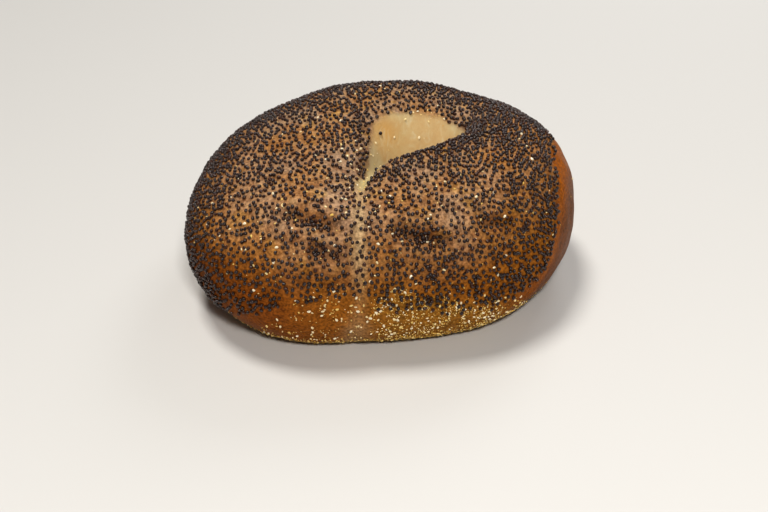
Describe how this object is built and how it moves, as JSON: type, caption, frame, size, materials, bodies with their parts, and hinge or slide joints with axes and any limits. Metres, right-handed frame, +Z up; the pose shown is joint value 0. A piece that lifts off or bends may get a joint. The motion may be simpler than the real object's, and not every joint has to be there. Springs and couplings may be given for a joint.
{
  "type": "bagel",
  "caption": "Plump hand-rolled bagel: one ring of baked dough with a seam at the front, a nearly closed hole and a flat base to rest on.",
  "frame": {"origin": "middle of the bounding box of the base, on the surface the bagel rests on", "axes": "+Z up; -Y towards the front, where the rope's ends meet in a seam; +X to the right of someone facing that seam"},
  "size_m": [0.112, 0.104, 0.047],
  "materials": {
    "crust": "satin",
    "poppy_seed": "satin",
    "cornmeal": "satin"
  },
  "bodies": {
    "root": {"bagel": "crust"}
  },
  "joints": []
}
